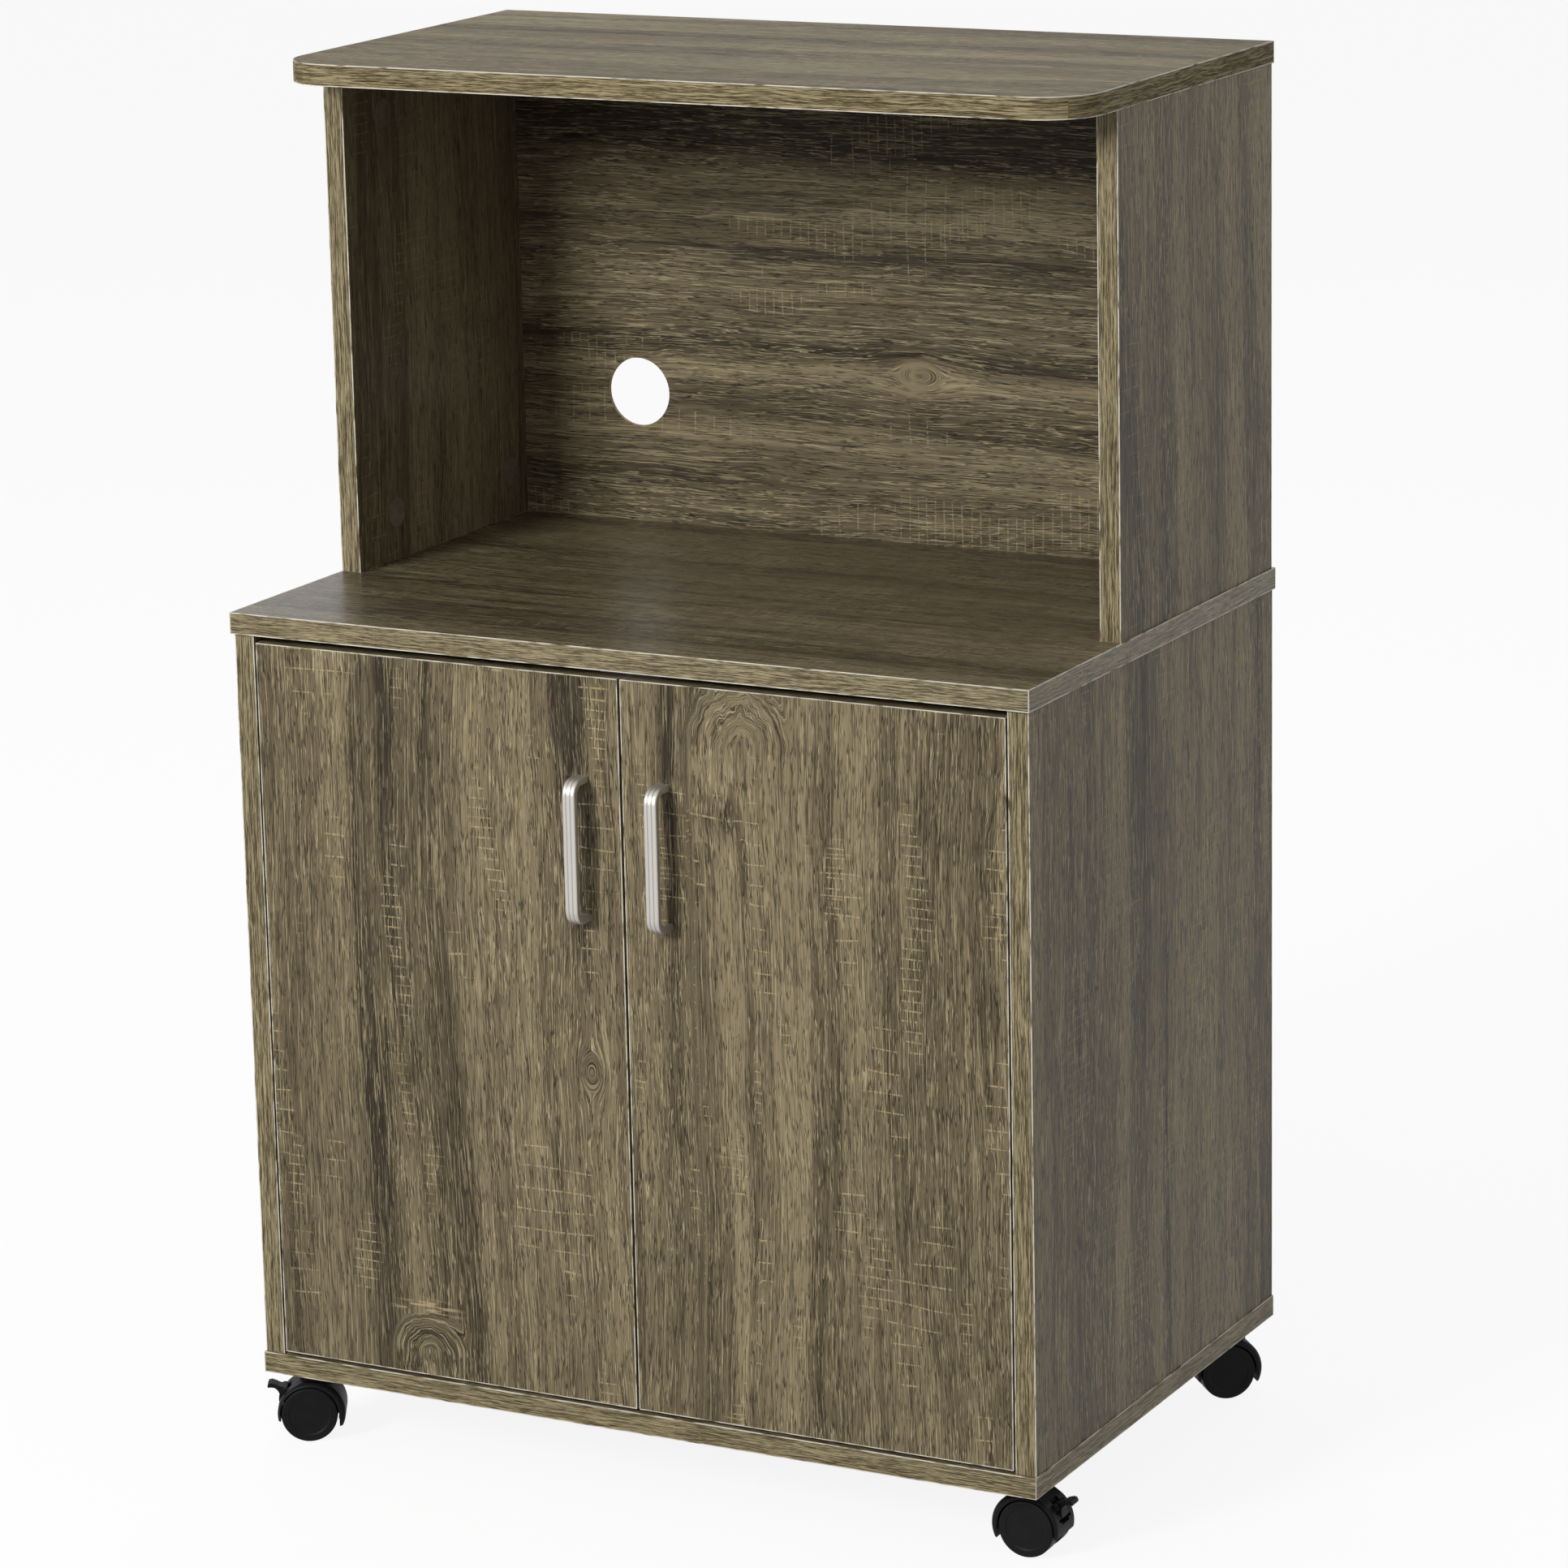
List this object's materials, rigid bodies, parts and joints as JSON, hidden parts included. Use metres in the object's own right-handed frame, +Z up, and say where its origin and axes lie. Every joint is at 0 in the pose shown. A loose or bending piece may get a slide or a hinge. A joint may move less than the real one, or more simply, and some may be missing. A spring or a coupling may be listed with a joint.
{
  "type": "microwave cart",
  "caption": "Tall rolling kitchen cabinet: hinged doors under a counter, an open oven bay with a cable hole above it, and a top board with round front corners.",
  "frame": {"origin": "on the floor, under the centre of the bounding box", "axes": "+Z up, +X towards the right of someone who faces the doors, -Y towards that person (the doors and handles face -Y)"},
  "size_m": [0.6201, 0.421, 0.97],
  "materials": {
    "oak_board": "weathered oak laminate with an open grain, satin",
    "back_board": "thin fibreboard with the same oak laminate, satin",
    "beech": "plain fluted beech",
    "cover_film": "printed oak sticker, satin",
    "satin_handle": "satin nickel paint",
    "plated_steel": "nickel plated",
    "zinc_casting": "dull zinc casting",
    "magnet_steel": "dark steel pole plates",
    "white_plastic": "moulded white plastic",
    "black_nylon": "moulded black nylon, satin"
  },
  "bodies": {
    "cart": {"top_panel": "oak_board", "upper_side_left": "oak_board", "upper_side_right": "oak_board", "upper_back_panel": "back_board", "counter_panel": "oak_board", "lower_side_left": "oak_board", "lower_side_right": "oak_board", "bottom_panel": "oak_board", "lower_back_panel": "back_board", "shelf": "oak_board", "shelf_pins": "plated_steel", "cam_nuts": "zinc_casting", "cam_bolts": "plated_steel", "cam_covers": "cover_film", "dowels": "beech", "hinge_plates": "plated_steel", "hinge_plate_screws": "plated_steel", "hinge_arms": "plated_steel", "hinge_adjust_screws": "plated_steel", "door_catch": "white_plastic", "catch_magnets": "magnet_steel", "catch_screws": "plated_steel", "caster_plates": "plated_steel", "caster_stems": "plated_steel", "caster_screws": "plated_steel"},
    "left_door": {"left_door": "oak_board", "left_handle": "satin_handle", "left_handle_screws": "plated_steel", "left_hinge_cups": "plated_steel", "left_door_screws": "plated_steel", "left_strike": "plated_steel"},
    "left_hinge_links": {"left_hinge_links": "plated_steel"},
    "right_door": {"right_door": "oak_board", "right_handle": "satin_handle", "right_handle_screws": "plated_steel", "right_hinge_cups": "plated_steel", "right_door_screws": "plated_steel", "right_strike": "plated_steel"},
    "right_hinge_links": {"right_hinge_links": "plated_steel"},
    "front_left_swivel": {"front_left_hood": "black_nylon", "front_left_axle": "plated_steel"},
    "front_left_outer_wheel": {"front_left_outer_wheel": "black_nylon"},
    "front_left_inner_wheel": {"front_left_inner_wheel": "black_nylon"},
    "front_left_brake": {"front_left_brake": "black_nylon"},
    "front_right_swivel": {"front_right_hood": "black_nylon", "front_right_axle": "plated_steel"},
    "front_right_outer_wheel": {"front_right_outer_wheel": "black_nylon"},
    "front_right_inner_wheel": {"front_right_inner_wheel": "black_nylon"},
    "front_right_brake": {"front_right_brake": "black_nylon"},
    "back_left_swivel": {"back_left_hood": "black_nylon", "back_left_axle": "plated_steel"},
    "back_left_outer_wheel": {"back_left_outer_wheel": "black_nylon"},
    "back_left_inner_wheel": {"back_left_inner_wheel": "black_nylon"},
    "back_right_swivel": {"back_right_hood": "black_nylon", "back_right_axle": "plated_steel"},
    "back_right_outer_wheel": {"back_right_outer_wheel": "black_nylon"},
    "back_right_inner_wheel": {"back_right_inner_wheel": "black_nylon"}
  },
  "joints": [
    {"name": "left_door_swing", "type": "hinge", "parent": "cart", "child": "left_door", "pos_m": [-0.2712, -0.1855, 0.32625], "axis": [0, 0, -1], "range_deg": [0, 95]},
    {"name": "left_link_turn", "type": "hinge", "parent": "cart", "child": "left_hinge_links", "pos_m": [-0.2712, -0.1645, 0.32625], "axis": [0, 0, 1], "range_deg": [0, 24]},
    {"name": "right_door_swing", "type": "hinge", "parent": "cart", "child": "right_door", "pos_m": [0.2712, -0.1855, 0.32625], "axis": [0, 0, 1], "range_deg": [0, 95]},
    {"name": "right_link_turn", "type": "hinge", "parent": "cart", "child": "right_hinge_links", "pos_m": [0.2712, -0.1645, 0.32625], "axis": [0, 0, -1], "range_deg": [0, 24]},
    {"name": "front_left_swivel_turn", "type": "hinge", "parent": "cart", "child": "front_left_swivel", "pos_m": [-0.277, -0.1635, 0.053], "axis": [0, 0, 1], "continuous": true},
    {"name": "front_left_outer_wheel_spin", "type": "hinge", "parent": "front_left_swivel", "child": "front_left_outer_wheel", "pos_m": [-0.28137, -0.16592, 0.02], "axis": [-0.4848, 0.8746, 0], "continuous": true},
    {"name": "front_left_inner_wheel_spin", "type": "hinge", "parent": "front_left_swivel", "child": "front_left_inner_wheel", "pos_m": [-0.28137, -0.16592, 0.02], "axis": [-0.4848, 0.8746, 0], "continuous": true},
    {"name": "front_left_brake_press", "type": "hinge", "parent": "front_left_swivel", "child": "front_left_brake", "pos_m": [-0.29694, -0.17455, 0.0349], "axis": [0.4848, -0.8746, 0], "range_deg": [0, 7]},
    {"name": "front_right_swivel_turn", "type": "hinge", "parent": "cart", "child": "front_right_swivel", "pos_m": [0.2755, -0.1515, 0.053], "axis": [0, 0, 1], "continuous": true},
    {"name": "front_right_outer_wheel_spin", "type": "hinge", "parent": "front_right_swivel", "child": "front_right_outer_wheel", "pos_m": [0.2805, -0.15141, 0.02], "axis": [0.0175, -0.9998, 0], "continuous": true},
    {"name": "front_right_inner_wheel_spin", "type": "hinge", "parent": "front_right_swivel", "child": "front_right_inner_wheel", "pos_m": [0.2805, -0.15141, 0.02], "axis": [0.0175, -0.9998, 0], "continuous": true},
    {"name": "front_right_brake_press", "type": "hinge", "parent": "front_right_swivel", "child": "front_right_brake", "pos_m": [0.2983, -0.1511, 0.0349], "axis": [-0.0175, 0.9998, 0], "range_deg": [0, 7]},
    {"name": "back_left_swivel_turn", "type": "hinge", "parent": "cart", "child": "back_left_swivel", "pos_m": [-0.277, 0.1835, 0.053], "axis": [0, 0, 1], "continuous": true},
    {"name": "back_left_outer_wheel_spin", "type": "hinge", "parent": "back_left_swivel", "child": "back_left_outer_wheel", "pos_m": [-0.28142, 0.18585, 0.02], "axis": [0.4695, 0.8829, 0], "continuous": true},
    {"name": "back_left_inner_wheel_spin", "type": "hinge", "parent": "back_left_swivel", "child": "back_left_inner_wheel", "pos_m": [-0.28142, 0.18585, 0.02], "axis": [0.4695, 0.8829, 0], "continuous": true},
    {"name": "back_right_swivel_turn", "type": "hinge", "parent": "cart", "child": "back_right_swivel", "pos_m": [0.277, 0.1835, 0.053], "axis": [0, 0, 1], "continuous": true},
    {"name": "back_right_outer_wheel_spin", "type": "hinge", "parent": "back_right_swivel", "child": "back_right_outer_wheel", "pos_m": [0.27328, 0.18015, 0.02], "axis": [-0.6691, 0.7431, 0], "continuous": true},
    {"name": "back_right_inner_wheel_spin", "type": "hinge", "parent": "back_right_swivel", "child": "back_right_inner_wheel", "pos_m": [0.27328, 0.18015, 0.02], "axis": [-0.6691, 0.7431, 0], "continuous": true}
  ],
  "couplings": [
    {"joint": "left_link_turn", "follows": "left_door_swing", "ratio": 0.25133},
    {"joint": "right_link_turn", "follows": "right_door_swing", "ratio": 0.25133}
  ]
}
